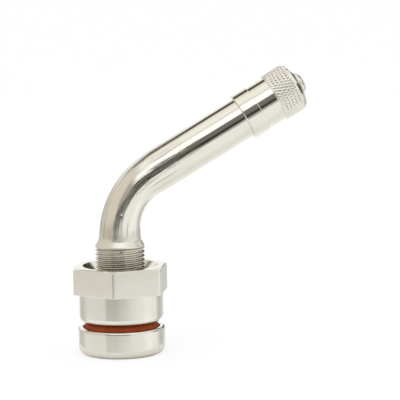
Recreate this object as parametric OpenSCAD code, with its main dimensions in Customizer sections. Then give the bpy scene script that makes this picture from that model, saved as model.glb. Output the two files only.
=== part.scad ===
// Bent clamp-in tyre valve for a tubeless truck wheel.
// Turned base with a sealing ring, threaded shank, collar nut, tube bent to sixty degrees,
// screw cap with a swivelling seal, and the spring-loaded valve core inside the arm.
// Millimetres. Origin at the middle of the base's underside, +Z up the shank, arm towards +X.

/* [Base] */
// Height of the base up to its lip
base_h = 5.3; // [5:0.1:5.8]
// Rounding of the base's bottom edge
base_edge_r = 1.55; // [1.3:0.05:2]
// Width of the lip outside the ring groove
lip_w = 0.95; // [0.8:0.05:1.2]
// Rounding of the lip's outer edge
lip_edge_r = 0.7; // [0.4:0.05:0.75]
// Depth of the ring groove below the lip
groove_depth = 1.56; // [1.4:0.02:1.7]
// Space in the groove outside the sealing ring
groove_space = 0.2; // [0.1:0.05:0.4]
// Cord thickness of the sealing ring
ring_cord_d = 2.6; // [2.4:0.05:2.7]

/* [Shank] */
// Outside diameter of the shank thread, for a 9.7 mm rim hole
shank_d = 9.5; // [9.3:0.05:9.6]
// Length of the shank from the lip to the last thread
shank_len = 15.6; // [15:0.1:18]
// How far the neck under the sealing ring lies below the thread
neck_relief = 0.15; // [0.1:0.05:0.3]
// Height of the taper from the thread to the tube
shank_taper_h = 1.2; // [0.8:0.1:1.6]

/* [Tube and bend] */
// Outside diameter of the tube
tube_d = 8.2; // [8:0.05:8.4]
// Diameter of the air passage
bore_d = 3.9; // [3.8:0.05:4.2]
// Straight length between the taper and the bend
riser_len = 1.87; // [1.5:0.05:4]
// Angle that the tube is bent through
bend_deg = 60; // [50:1:70]
// Radius of the bend along the tube's middle
bend_r = 12; // [11:0.25:14]
// Flattening of the tube's outer side at the middle of the bend
bend_flat = 0.15; // [0.02:0.01:0.18]
// Flattening of its inner side there
bend_flat_in = 0.05; // [0:0.01:0.1]
// Widening of the tube at the middle of the bend
bend_bulge = 0.05; // [0.01:0.01:0.08]
// Length over which the flattening fades out beyond each end of the bend
bend_fade = 2; // [1.8:0.1:3]
// Straight length of the arm from the bend to the cap thread
arm_len = 21.17; // [20:0.01:30]

/* [Collar nut] */
// Width of the hexagon across its flats
nut_af = 17; // [16.8:0.1:18]
// Height of the hexagon
hex_h = 5.2; // [4.6:0.1:5.8]
// Radius at which the chamfer of the hexagon's corners starts
hex_top_r = 8.7; // [8.3:0.05:9]
// Slope of that chamfer
hex_slope = 22; // [15:1:30]
// Diameter of the countersink on top of the nut
nut_dish_d = 14.6; // [13:0.1:15.4]
// Diameter of the round collar under the hexagon
collar_d = 16.3; // [15.8:0.1:16.6]
// Height of the round collar
collar_h = 5.6; // [5:0.1:6.2]
// Rounding of the collar's bottom edge
collar_edge_r = 1.1; // [0.6:0.05:1.4]
// Angle of the hexagon about the shank
nut_turn = 14.4; // [0:0.1:60]
// Width of the countersink under the nut's thread
nut_sink = 0.45; // [0.2:0.05:0.6]

/* [Cap] */
// Diameter of the cap thread
cap_thread_d = 7.7; // [7.6:0.05:7.75]
// Gap between the tube's end and the cap's mouth
cap_gap = 0.1; // [0.1:0.05:0.8]
// Diameter of the bead at the cap's mouth
bead_d = 9.4; // [9.2:0.05:9.6]
// Length of the bead
bead_len = 3.32; // [3:0.01:4]
// Diameter of the cap's plain waist
waist_d = 9.05; // [8.9:0.05:9.15]
// Length of the cap's plain waist
waist_len = 3.8; // [3.4:0.1:4.3]
// Diameter of the knurled grip
grip_d = 9.7; // [9.5:0.05:10]
// Length of the knurled grip
grip_len = 4.33; // [3.9:0.01:4.8]
// Number of knurl diamonds round the grip
knurl_n = 46; // [40:1:48]
// Rows of half diamonds along the grip
knurl_rows = 6; // [4:1:8]
// Depth of the knurl
knurl_depth = 0.25; // [0.15:0.01:0.28]
// Height of the bevel at the grip's far end
crown_h = 0.6; // [0.5:0.05:0.9]
// Depth of the bevel at the grip's far end
crown_w = 0.65; // [0.45:0.05:0.75]
// Rise of the sloping roof inside the bevel
roof_rise = 0.72; // [0.5:0.02:0.9]
// Thickness of the roof at its thin edge
roof_t = 0.34; // [0.3:0.02:0.5]
// Diameter of the button on the cap's end
button_d = 4.15; // [3.8:0.05:4.4]
// Height of the button
button_h = 1; // [0.8:0.02:1.1]
// Diameter of the swivel's stalk
stalk_d = 2.2; // [2:0.05:2.4]
// Thickness of the swivel's plate
plate_t = 0.5; // [0.4:0.05:0.6]
// Thickness of the cap's sealing washer
washer_t = 1.2; // [1:0.05:1.4]

/* [Valve core] */
// Diameter of the core's thread
core_d = 5.2; // [5.15:0.05:5.3]
// Length of the core's threaded plug
plug_len = 4.2; // [4:0.05:4.5]
// Height of the plug's bridge that a key turns
bridge_h = 1.7; // [1.5:0.05:1.9]
// Thickness of the plug's bridge
bridge_t = 2; // [1.9:0.05:2.4]
// Diameter of the core's barrel
barrel_d = 3.6; // [3.5:0.05:3.7]
// Diameter of the spring chamber in the barrel
chamber_d = 2.5; // [2.45:0.05:2.6]
// Length of the barrel below the plug
barrel_len = 6.8; // [6.5:0.1:7.5]
// Length of the packing that seals the barrel
packing_len = 2; // [1.8:0.1:2.2]
// Diameter of the pin
pin_d = 1.2; // [1.1:0.05:1.25]
// Depth of the pin's tip below the stem's mouth
pin_depth = 0.35; // [0.2:0.05:0.6]
// Diameter of the cup on the pin's end
cup_d = 3.2; // [3:0.05:3.3]
// Height of the cup
cup_h = 1.7; // [1.5:0.05:2]
// Thickness of the cup's sealing washer
cup_washer_t = 0.7; // [0.5:0.05:0.9]
// Thickness of the spring's wire
wire_d = 0.32; // [0.28:0.01:0.34]
// Turns of the spring
spring_turns = 7; // [5:1:8]

/* [Fits] */
// Space between turning or sliding pieces, each side
run_gap = 0.05; // [0.02:0.01:0.08]
// Space between pieces that rest on each other
seat_gap = 0.02; // [0.01:0.005:0.03]

/* [Hidden] */
$fn = 96;
// Piece to draw, or all of them
// Overlap of the bend with the straight parts of the tube, and of the neck with the shank
lap = 0.5;
// How far a cutter reaches past what it cuts
over = 1;
nickel = [0.78, 0.76, 0.71];
brass = [0.76, 0.62, 0.32];
rust_red = [0.5, 0.12, 0.06];
black_rubber = [0.06, 0.06, 0.06];
steel = [0.6, 0.6, 0.62];

// Radii and heights of the base and the shank
shank_r = shank_d / 2;
neck_r = shank_r - neck_relief;
ring_in_r = neck_r + seat_gap + 0.03;
ring_mid_r = ring_in_r + ring_cord_d / 2;
groove_r = ring_in_r + ring_cord_d + groove_space;
base_r = groove_r + lip_w;
groove_z = base_h - groove_depth;
ring_z = groove_z + seat_gap + ring_cord_d / 2;
ring_top_z = ring_z + ring_cord_d / 2;
shank_top_z = base_h + shank_len;
tube_r = tube_d / 2;
bore_r = bore_d / 2;
taper_top_z = shank_top_z + shank_taper_h;
neck_top_z = base_h + 1.6;
bore_sink = 0.5;

// Path of the bend: straight up, an arc towards +X, straight along the arm
bend_z = taper_top_z + riser_len;
bend_tangent = bend_r * tan(bend_deg / 2);
corner_z = bend_z + bend_tangent;
bend_arc = bend_r * bend_deg * PI / 180;
bend_rings = 21;
bend_sides = 36;
skin_r = tube_r - 0.006;
lining_r = bore_r + 0.02;
stub_z = max(taper_top_z + 0.1, bend_z - bend_fade);

// Stations along the arm, measured from the corner where the two axes cross
arm_end = bend_tangent + arm_len;
cap_mouth = arm_end + cap_gap;
bead_end = cap_mouth + bead_len;
waist_end = bead_end + waist_len;
grip_end = waist_end + grip_len;
crown_end = grip_end + crown_h;
roof_in = crown_end - roof_t;
roof_top = crown_end + roof_rise;
washer_top = roof_in - run_gap - plate_t;
stem_mouth = washer_top - washer_t - seat_gap;
cap_bore_r = cap_thread_d / 2 + run_gap;
crown_r = grip_d / 2 - crown_w;
knurl_edge = 0.2;
knurl_root_r = max(grip_d / 2 - knurl_depth, waist_d / 2 + 0.05);
knurl_in_r = (cap_bore_r + waist_d / 2) / 2;
stalk_r = stalk_d / 2;
button_r = button_d / 2;

// Stations of the core, also from the corner
core_r = core_d / 2;
bridge_top = stem_mouth - 0.9;
plug_top = bridge_top - bridge_h;
plug_end = plug_top - plug_len;
flange_top = plug_end + 1.2;
flange_end = plug_end + 0.35;
core_bore_end = plug_end - 0.5;
packing_top = plug_end - 0.6;
packing_end = packing_top - packing_len;
barrel_end = plug_end - barrel_len;
floor_t = 0.7;
lip_h = 0.25;
barrel_r = barrel_d / 2;
chamber_r = chamber_d / 2;
flange_r = barrel_r + 0.2;
barrel_neck_r = barrel_r - 0.15;
groove_floor_r = barrel_r - 0.25;
seat_top_r = core_r - 0.25;
seat_end_r = bore_r;
pin_r = pin_d / 2;
pin_tip = stem_mouth - pin_depth;
stop_end = flange_end - 0.3;
stop_t = 0.7;
cup_r = cup_d / 2;
cup_top = barrel_end - lip_h - seat_gap;
cup_end = cup_top - cup_h;
pin_end = cup_end - 0.35;
spring_top = stop_end - seat_gap - wire_d / 2;
spring_end = barrel_end + floor_t + seat_gap + wire_d / 2;
coil_r = (pin_r + chamber_r) / 2 + 0.02;
wire_sides = 8;

// Small helpers

// Puts a piece drawn along Z on the arm's axis, with Z = 0 at the corner.
module on_arm() {
    translate([0, 0, corner_z])
        rotate([0, bend_deg, 0])
            children();
}

// Flat box from one corner to the opposite one.
module span2(low, high) {
    translate(low)
        square(high - low);
}

// What a rounding takes off an outer corner at [x, y]; up is 1 for a top corner, -1 for a bottom one.
module corner_cut(x, y, r, up) {
    translate([x - r, y - up * r])
        difference() {
            translate([0, up > 0 ? 0 : -r - 0.2])
                square([r + 0.2, r + 0.2]);
            circle(r);
        }
}

// Ring between two radii and two heights.
module ring(r_in, r_out, z0, z1) {
    rotate_extrude()
        span2([r_in, z0], [r_out, z1]);
}

// Triangles of the wall through rings of n points, the first of them point number start.
// A woven wall turns the diagonal of every other square, which makes pyramids of alternating points.
function wall(n, rings, start, out, woven = false) =
    [for (i = [0 : rings - 2], j = [0 : n - 1])
        let (a = start + i * n + j, b = start + i * n + (j + 1) % n, c = a + n, d = b + n)
            each !out ? [[a, d, c], [a, b, d]]
                 : woven && (i + j) % 2 == 1 ? [[a, c, b], [b, c, d]] : [[a, c, d], [a, d, b]]];

// Closed skin through rings of equally many points, with flat ends.
module skin(rings) {
    n = len(rings[0]);
    last = (len(rings) - 1) * n;
    ends = [[for (j = [0 : n - 1]) j], [for (j = [n - 1 : -1 : 0]) last + j]];
    polyhedron([for (r = rings) each r], concat(wall(n, len(rings), 0, true), ends));
}

// Open-ended pipe between an outer and an inner skin with as many rings and points.
module pipe(outer, inner, woven = false) {
    n = len(outer[0]);
    m = len(outer);
    in0 = m * n;
    last = (m - 1) * n;
    rims = [for (j = [0 : n - 1])
        let (k = (j + 1) % n)
            each [[j, k, in0 + k], [j, in0 + k, in0 + j],
                  [last + j, in0 + last + k, last + k], [last + j, in0 + last + j, in0 + last + k]]];
    polyhedron([for (r = concat(outer, inner)) each r],
               concat(wall(n, m, 0, true, woven), wall(n, m, in0, false), rims));
}

// How far the flattening has set in at s along the bend, from 0 to 1.
function fade(s) =
    let (t = (s + bend_fade) / (bend_arc + 2 * bend_fade))
        t <= 0 || t >= 1 ? 0 : sin(180 * t);

// Angle turned through at s along the bend.
function turned(s) = max(0, min(bend_deg, bend_deg * s / bend_arc));

// Middle of the tube at s along the bend.
function mid(s) =
    let (a = turned(s), past = max(0, s - bend_arc))
        [bend_r * (1 - cos(a)) + past * sin(bend_deg), 0,
         bend_z + min(0, s) + bend_r * sin(a) + past * cos(bend_deg)];

// Ring of radius r round the tube's middle at s along the bend: flattened outside, less so inside, and widened.
function tube_ring(s, r, flat, flat_in, bulge) =
    let (a = turned(s),
         p = mid(s),
         far = r * (1 - flat * fade(s)),
         near = r * (1 - flat_in * fade(s)),
         wide = r * (1 + bulge * pow(fade(s), 2)))
        [for (j = [0 : bend_sides - 1])
            let (q = 360 * j / bend_sides, u = (cos(q) < 0 ? far : near) * cos(q))
                [p[0] + u * cos(a), wide * sin(q), p[2] - u * sin(a)]];

// Ring of the spring's wire at t turns from its lower end; the end turns lie flat.
function coil_ring(t) =
    let (q = 360 * t, rise = spring_top - spring_end,
         z = spring_end + rise * max(0, min(1, (t - 0.75) / (spring_turns - 1.5))))
        [for (j = [0 : wire_sides - 1])
            let (w = 360 * j / wire_sides, r = coil_r + wire_d / 2 * cos(w))
                [r * cos(q), r * sin(q), z + wire_d / 2 * sin(w)]];

// Height of ring i of the knurl, whose first and last rings are plain.
function knurl_z(i) =
    i == 0 ? waist_end
    : i == knurl_rows + 2 ? grip_end + knurl_edge / 2
    : waist_end + knurl_edge + (grip_len - 2 * knurl_edge) * (i - 1) / knurl_rows;

// Radius of point j of ring i: peaks and roots take turns, and the ends are low.
function knurl_r(i, j) =
    i == 0 ? knurl_root_r
    : i == knurl_rows + 2 ? waist_d / 2 + 0.02
    : (i + j) % 2 == 0 ? knurl_root_r : grip_d / 2;

// Ring i of the knurl, or of the plain wall inside it.
function knurl_ring(i, inside) =
    [for (j = [0 : 2 * knurl_n - 1])
        let (q = 180 * j / knurl_n, r = inside ? knurl_in_r : knurl_r(i, j))
            [r * cos(q), r * sin(q), knurl_z(i)]];

// Pieces

// Half section of the base, the ring groove, the shank and the tube's foot.
module stem_section() {
    difference() {
        span2([0, 0], [base_r, base_h]);
        corner_cut(base_r, 0, base_edge_r, -1);
        corner_cut(base_r, base_h, lip_edge_r, 1);
        span2([neck_r, groove_z], [groove_r, base_h + over]);
    }
    span2([0, groove_z - lap], [neck_r, neck_top_z + lap]);
    span2([0, neck_top_z], [shank_r, shank_top_z]);
    polygon([[0, shank_top_z], [shank_r, shank_top_z], [tube_r, taper_top_z],
             [tube_r, stub_z], [0, stub_z]]);
}

// Half section of the straight arm with the cap thread, from the bend's end to the mouth.
module arm_section() {
    start = bend_tangent + bend_fade;
    bevel = 0.45;
    polygon([[0, start], [tube_r, start], [tube_r, arm_end - 0.25], [tube_r - 0.25, arm_end],
             [cap_thread_d / 2, arm_end], [cap_thread_d / 2, stem_mouth - bevel],
             [cap_thread_d / 2 - bevel, stem_mouth], [0, stem_mouth]]);
}

// Half section of the core's chamber in the arm, and of the air passage below it.
module chamber_section() {
    sink = 0.3;
    polygon([[0, stem_mouth + 1], [core_r + run_gap + sink, stem_mouth + 1],
             [core_r + run_gap + sink, stem_mouth], [core_r + run_gap, stem_mouth - sink],
             [core_r + run_gap, core_bore_end], [seat_top_r, core_bore_end],
             [seat_end_r, packing_end - 0.2], [bore_r, bend_tangent], [0, bend_tangent]]);
}

// Bent part of the tube, flattened as a bent pipe is.
module bend() {
    steps = bend_rings - 1;
    run = bend_arc + 2 * (bend_fade + lap);
    stations = [for (i = [0 : steps]) run * i / steps - bend_fade - lap];
    pipe([for (s = stations) tube_ring(s, skin_r, bend_flat, bend_flat_in, bend_bulge)],
         [for (s = stations) tube_ring(s, lining_r, bend_flat / 2, 0, 0)]);
}

// Base, shank, bent tube and cap thread, turned from one bar and then bent.
module valve_stem() {
    color(nickel)
        union() {
            difference() {
                rotate_extrude()
                    stem_section();
                translate([0, 0, -over])
                    cylinder(h = stub_z + 2 * over, r = bore_r);
                translate([0, 0, -over])
                    cylinder(h = over + bore_sink, r1 = bore_r + over + bore_sink, r2 = bore_r);
            }
            bend();
            on_arm()
                rotate_extrude()
                    difference() {
                        arm_section();
                        chamber_section();
                    }
        }
}

// Sealing ring in the base's groove.
module o_ring() {
    color(rust_red)
        rotate_extrude()
            translate([ring_mid_r, ring_z])
                circle(ring_cord_d / 2);
}

// Hexagon nut with its round clamping collar, in one piece.
module collar_nut() {
    z0 = ring_top_z + 2 * seat_gap;
    z1 = z0 + collar_h;
    z2 = z1 + hex_h;
    hex_r = nut_af / 2 / cos(30);
    slope = tan(hex_slope);
    bore = shank_r + run_gap;
    dish = nut_dish_d / 2 - bore;
    color(nickel)
        rotate([0, 0, nut_turn])
            difference() {
                union() {
                    rotate_extrude()
                        difference() {
                            span2([0, z0], [collar_d / 2, z1 + 0.5]);
                            corner_cut(collar_d / 2, z0, collar_edge_r, -1);
                        }
                    intersection() {
                        translate([0, 0, z1])
                            cylinder(h = hex_h, r = hex_r, $fn = 6);
                        rotate_extrude()
                            polygon([[0, z1 - over], [hex_r + over, z1 - over],
                                     [hex_r + over, z2 - (hex_r + over - hex_top_r) * slope],
                                     [hex_top_r, z2], [0, z2]]);
                    }
                }
                translate([0, 0, z0 - over])
                    cylinder(h = z2 - z0 + 2 * over, r = bore);
                translate([0, 0, z0 - over])
                    cylinder(h = over + nut_sink, r1 = bore + nut_sink + over, r2 = bore);
                translate([0, 0, z2 - dish])
                    cylinder(h = over + dish, r1 = bore, r2 = bore + dish + over);
            }
}

// Cap with a beaded mouth, a plain waist, a knurled grip and a sloping roof.
module cap_shell() {
    bevel = 0.12;
    rows = knurl_rows + 2;
    color(nickel)
        on_arm()
            union() {
                rotate_extrude()
                    difference() {
                        polygon([[0, cap_mouth], [bead_d / 2 - bevel, cap_mouth],
                                 [bead_d / 2, cap_mouth + bevel], [bead_d / 2, bead_end - bevel],
                                 [bead_d / 2 - bevel, bead_end], [waist_d / 2, bead_end],
                                 [waist_d / 2, grip_end + knurl_edge], [crown_r, crown_end],
                                 [button_r + 0.12, roof_top], [0, roof_top]]);
                        span2([0, cap_mouth - over], [cap_bore_r, roof_in]);
                        polygon([[0, cap_mouth - over], [cap_bore_r + 0.3 + over, cap_mouth - over],
                                 [cap_bore_r, cap_mouth + 0.3], [0, cap_mouth + 0.3]]);
                        span2([0, roof_in - over], [stalk_r + run_gap, roof_top + over]);
                    }
                pipe([for (i = [0 : rows]) knurl_ring(i, false)],
                     [for (i = [0 : rows]) knurl_ring(i, true)], true);
            }
}

// Swivel of the cap: button outside, stalk through the roof, plate and peg that carry the washer.
module cap_swivel() {
    head = roof_top + seat_gap;
    dome = [for (i = [0 : 12]) [button_r * cos(7.5 * i), head + 0.08 + (button_h - 0.08) * sin(7.5 * i)]];
    color(nickel)
        on_arm()
            rotate_extrude()
                union() {
                    polygon(concat([[0, head], [button_r, head]], dome));
                    span2([0, washer_top + 0.1], [stalk_r, head + 0.1]);
                    span2([0, washer_top], [cap_bore_r - 0.25, washer_top + plate_t]);
                    span2([0, stem_mouth + 0.2], [stalk_r, washer_top + 0.1]);
                }
}

// Rubber washer that the cap presses on the stem's mouth.
module cap_washer() {
    color(black_rubber)
        on_arm()
            ring(stalk_r + seat_gap, cap_bore_r - 0.15, stem_mouth + seat_gap, washer_top - seat_gap / 2);
}

// Threaded plug of the core, with the bridge that a key turns.
module core_plug() {
    hole_r = pin_r + run_gap;
    color(brass)
        on_arm()
            difference() {
                union() {
                    rotate_extrude()
                        span2([0, plug_end], [core_r, plug_top]);
                    intersection() {
                        rotate_extrude()
                            span2([0, plug_top - 0.1], [core_r - 0.3, bridge_top]);
                        translate([-bridge_t / 2, -core_r, plug_top - 0.2])
                            cube([bridge_t, 2 * core_r, bridge_h + 1]);
                    }
                }
                rotate_extrude()
                    polygon([[0, plug_end - 1], [barrel_neck_r + run_gap, plug_end - 1],
                             [barrel_neck_r + run_gap, flange_end], [flange_r + run_gap, flange_end],
                             [flange_r + run_gap, flange_top], [chamber_r + 0.2, flange_top],
                             [chamber_r + 0.2, plug_top + 0.3], [hole_r, plug_top + 0.3],
                             [hole_r, bridge_top + 1], [0, bridge_top + 1]]);
            }
}

// Barrel of the core, hung in the plug by its flange, with a groove for the packing.
module core_barrel() {
    rim = flange_top - run_gap;
    color(brass)
        on_arm()
            rotate_extrude()
                difference() {
                    union() {
                        span2([0, flange_end + run_gap], [flange_r, rim]);
                        span2([0, packing_top], [barrel_neck_r, flange_end + 0.2]);
                        span2([0, barrel_end], [groove_floor_r, packing_top + 0.1]);
                        span2([0, barrel_end], [barrel_r, packing_end]);
                        span2([0, barrel_end - lip_h], [chamber_r - 0.05, barrel_end + 0.1]);
                    }
                    span2([0, barrel_end + floor_t], [chamber_r, rim + 1]);
                    span2([0, barrel_end - 1], [pin_r + 0.3, barrel_end + floor_t + 0.1]);
                }
}

// Tapered packing that seals the barrel in the stem.
module core_packing() {
    top = packing_top - seat_gap;
    low = packing_end + seat_gap;
    drop = packing_end - 0.2;
    rate = (seat_top_r - seat_end_r) / (core_bore_end - drop);
    color(rust_red)
        on_arm()
            rotate_extrude()
                polygon([[groove_floor_r + seat_gap, low],
                         [seat_end_r + rate * (low - drop) - seat_gap, low],
                         [seat_end_r + rate * (top - drop) - seat_gap, top],
                         [groove_floor_r + seat_gap, top]]);
}

// Pin through the core, with the stop that the spring pushes on.
module core_pin() {
    color(brass)
        on_arm()
            rotate_extrude()
                union() {
                    polygon([[0, pin_end], [pin_r, pin_end], [pin_r, pin_tip - 0.25],
                             [pin_r - 0.25, pin_tip], [0, pin_tip]]);
                    span2([0, stop_end], [chamber_r - 0.12, stop_end + stop_t]);
                    span2([0, pin_end], [pin_r + 0.3, cup_end - seat_gap]);
                }
}

// Cup on the pin's end that holds the sealing washer.
module core_cup() {
    color(brass)
        on_arm()
            rotate_extrude()
                difference() {
                    span2([pin_r + seat_gap, cup_end], [cup_r, cup_top]);
                    span2([0, cup_top - cup_washer_t - seat_gap], [cup_r - 0.2, cup_top + 1]);
                }
}

// Rubber washer that closes the barrel's end.
module core_cup_washer() {
    color(black_rubber)
        on_arm()
            ring(pin_r + seat_gap, cup_r - 0.2 - seat_gap, cup_top - cup_washer_t, cup_top);
}

// Spring that holds the pin out and the cup shut.
module core_spring() {
    steps = spring_turns * 16;
    color(steel)
        on_arm()
            skin([for (i = [0 : steps]) coil_ring(spring_turns * i / steps)]);
}

// Drawing
valve_stem();
o_ring();
collar_nut();
cap_shell();
cap_swivel();
cap_washer();
core_plug();
core_barrel();
core_packing();
core_pin();
core_cup();
core_cup_washer();
core_spring();
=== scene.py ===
"""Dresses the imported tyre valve: fine meshes, finishes, studio and camera.

The classes hold their sizes in millimetres, as the solids do, and a mesh gets them in metres.
"""
import logging
from dataclasses import dataclass
from enum import Enum
from functools import cache, reduce
from math import atan2, cos, exp, log, pi, radians, sin, tan, tau
from typing import Iterable, Sequence

import bmesh
import bpy
from bpy.types import ID, Material, Mesh, Node, NodeSocket, NodeTree, Object
from mathutils import Matrix, Vector


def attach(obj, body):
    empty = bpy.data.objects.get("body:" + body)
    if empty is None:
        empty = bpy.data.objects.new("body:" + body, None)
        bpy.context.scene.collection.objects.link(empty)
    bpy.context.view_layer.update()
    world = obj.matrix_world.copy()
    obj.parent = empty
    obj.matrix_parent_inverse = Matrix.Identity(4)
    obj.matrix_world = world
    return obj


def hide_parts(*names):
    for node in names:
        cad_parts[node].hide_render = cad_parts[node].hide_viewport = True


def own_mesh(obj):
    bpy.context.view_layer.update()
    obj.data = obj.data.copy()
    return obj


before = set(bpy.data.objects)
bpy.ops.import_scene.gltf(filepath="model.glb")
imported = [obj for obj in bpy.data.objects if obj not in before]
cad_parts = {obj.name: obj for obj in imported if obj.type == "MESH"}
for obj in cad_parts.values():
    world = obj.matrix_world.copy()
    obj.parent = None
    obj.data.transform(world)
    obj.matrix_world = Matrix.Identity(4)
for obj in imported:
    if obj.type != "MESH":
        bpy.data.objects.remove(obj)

LOG = logging.getLogger("tyre_valve")
MM = 0.001
Point2 = tuple[float, float]
Point3 = tuple[float, float, float]
Colour = tuple[float, float, float]
Value = float | int | NodeSocket
Outputs = bpy.types.bpy_prop_collection


class Body(Enum):
    """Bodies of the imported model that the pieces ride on."""

    VALVE = "valve_body"
    NUT = "clamp_nut"
    CAP = "cap"
    CAP_SEAL = "cap_seal"


class Slot(Enum):
    """Material slots of the record."""

    BRIGHT = "nickel_plate"
    SATIN = "nickel_satin"
    RED_RUBBER = "red_rubber"
    STEEL = "spring_steel"


class RayLook(Enum):
    """Which rays a look is shown to."""

    CAMERA = "Is Camera Ray"
    GLOSSY = "Is Glossy Ray"


# Places and outlines


@dataclass(frozen=True)
class Placement:
    """Where a turned piece stands.

    Attributes:
        lift: height of the axis's zero point.
        lean_deg: lean of the axis from upright towards +X.
    """

    lift: float = 0.0
    lean_deg: float = 0.0

    def point(self, x: float, y: float, z: float) -> Point3:
        """Puts a point of the upright piece where the leaning axis carries it.

        Args:
            x: distance along the piece's own X.
            y: distance along the piece's own Y.
            z: distance along the piece's axis.

        Returns:
            The point in the valve's frame.
        """
        c, s = cos(radians(self.lean_deg)), sin(radians(self.lean_deg))
        return (x * c + z * s, y, self.lift - x * s + z * c)

    def rings(self, outline: Sequence[Point2], around: int) -> list[list[Point3]]:
        """Turns an outline about the axis.

        Args:
            outline: radius and height pairs.
            around: points round the axis.

        Returns:
            A ring of points for each pair.
        """
        spin = [tau * j / around for j in range(around)]
        return [[self.point(r * cos(q), r * sin(q), z) for q in spin] for r, z in outline]


SHANK_AXIS = Placement()
ARM_AXIS = Placement(30.898, 60.0)


@dataclass(frozen=True)
class Corner:
    """Corner of a turned outline, with the radius that breaks its edge."""

    SUPPORT = 0.05
    STEPS = 6
    LONGEST = 0.45
    NEAREST = 0.2

    r: float
    z: float
    fillet: float = 0.0

    def arc(self, before: "Corner", after: "Corner") -> list[Point2]:
        """Rounds the corner.

        Args:
            before: the corner before it.
            after: the corner after it.

        Returns:
            Points of the arc, with a support point at each side.
        """
        p = Vector((self.r, self.z))
        a, b = Vector((before.r, before.z)) - p, Vector((after.r, after.z)) - p
        half = a.angle(b) / 2
        reach = min(self.fillet / tan(half), self.LONGEST * a.length, self.LONGEST * b.length)
        ua, ub = a.normalized(), b.normalized()
        centre = p + (ua + ub).normalized() * (reach * tan(half) / sin(half))
        start, end = p + ua * reach - centre, p + ub * reach - centre
        sweep = start.angle_signed(end)
        found = []
        for k in range(self.STEPS + 1):
            q = -sweep * k / self.STEPS
            c, s = cos(q), sin(q)
            found.append(centre + Vector((start.x * c - start.y * s, start.x * s + start.y * c)))
        first, last = (min(self.SUPPORT, self.NEAREST * side.length) for side in (a, b))
        return [(v.x, v.y) for v in (found[0] + ua * first, *found, found[-1] + ub * last)]


def rounded(*corners: tuple[float, ...], closed: bool = False) -> list[Point2]:
    """Draws the half section of a turned piece: outer wall upwards, then inwards, then down inside.

    Args:
        corners: radius and height of each corner, and its fillet where it is rounded.
        closed: whether the last corner joins the first.

    Returns:
        The outline as radius and height pairs.
    """
    found: list[Point2] = []
    row = [Corner(*c) for c in corners]
    for i, corner in enumerate(row):
        if corner.fillet > 0 and (closed or 0 < i < len(row) - 1):
            found.extend(corner.arc(row[i - 1], row[(i + 1) % len(row)]))
        else:
            found.append((corner.r, corner.z))
    return found + found[:1] if closed else found


def add_object(name: str, data: ID) -> Object:
    """Puts an object into the scene.

    Args:
        name: its name.
        data: its mesh, lamp or camera.

    Returns:
        The object.
    """
    added = bpy.data.objects.new(name, data)
    bpy.context.scene.collection.objects.link(added)
    return added


def dress(piece: Object, material: Material) -> None:
    """Gives a piece its only material."""
    piece.data.materials.clear()
    piece.data.materials.append(material)


class Shape:
    """Collects walls of points into one closed mesh."""

    SEAM, SLIVER = 2e-7, 1e-8

    def __init__(self) -> None:
        """Starts with no points."""
        self.points: list[Point3] = []
        self.faces: list[tuple[int, ...]] = []

    def wall(self, rings: Sequence[Sequence[Point3]]) -> None:
        """Adds a wall through rings of equally many points.

        Args:
            rings: the rings in the outline's order, each turning from +X to +Y.
        """
        start, n = len(self.points), len(rings[0])
        for ring in rings:
            self.points.extend(ring)
        for i in range(len(rings) - 1):
            for j in range(n):
                a, b = start + i * n + j, start + i * n + (j + 1) % n
                self.faces.append((a, b, b + n, a + n))

    def turned(self, outline: Sequence[Point2], place: Placement, around: int) -> None:
        """Turns an outline about its axis.

        Args:
            outline: radius and height pairs.
            place: where the axis stands.
            around: points round the axis.
        """
        self.wall(place.rings(outline, around))

    def take(self, mesh: Mesh, place: Placement) -> None:
        """Takes over the faces of a mesh and removes it.

        Args:
            mesh: the mesh, upright and in metres.
            place: where its axis stands.
        """
        start = len(self.points)
        self.points.extend(place.point(*(v.co / MM)) for v in mesh.vertices)
        self.faces.extend(tuple(start + k for k in p.vertices) for p in mesh.polygons)
        bpy.data.meshes.remove(mesh)

    def press(self, marks: Iterable["Nick"]) -> None:
        """Presses small dents into the points.

        Args:
            marks: the dents.
        """
        for mark in marks:
            centre, way = Vector(mark.centre), Vector(mark.inward).normalized()
            for k, p in enumerate(self.points):
                away = Vector(p) - centre
                if away.length < mark.REACH * mark.size:
                    sunk = mark.depth * exp(-((away.length / mark.size) ** 2))
                    self.points[k] = tuple(Vector(p) + way * sunk)

    def made(self, name: str, sharp_deg: float = 40.0) -> Object:
        """Makes the object, its seams and poles merged.

        Args:
            name: the piece's name.
            sharp_deg: angle above which an edge stays sharp.

        Returns:
            The object at the origin.
        """
        mesh = bpy.data.meshes.new(name)
        mesh.from_pydata([tuple(c * MM for c in p) for p in self.points], [], self.faces)
        work = bmesh.new()
        work.from_mesh(mesh)
        bmesh.ops.remove_doubles(work, verts=work.verts, dist=self.SEAM)
        bmesh.ops.dissolve_degenerate(work, edges=work.edges, dist=self.SLIVER)
        bmesh.ops.recalc_face_normals(work, faces=work.faces)
        work.to_mesh(mesh)
        work.free()
        mesh.polygons.foreach_set("use_smooth", [True] * len(mesh.polygons))
        mesh.set_sharp_from_angle(angle=radians(sharp_deg))
        return add_object(name, mesh)


@dataclass(frozen=True)
class Nick:
    """Small dent from wear."""

    REACH = 3

    centre: Point3
    inward: Point3
    size: float
    depth: float


# Node trees


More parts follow.
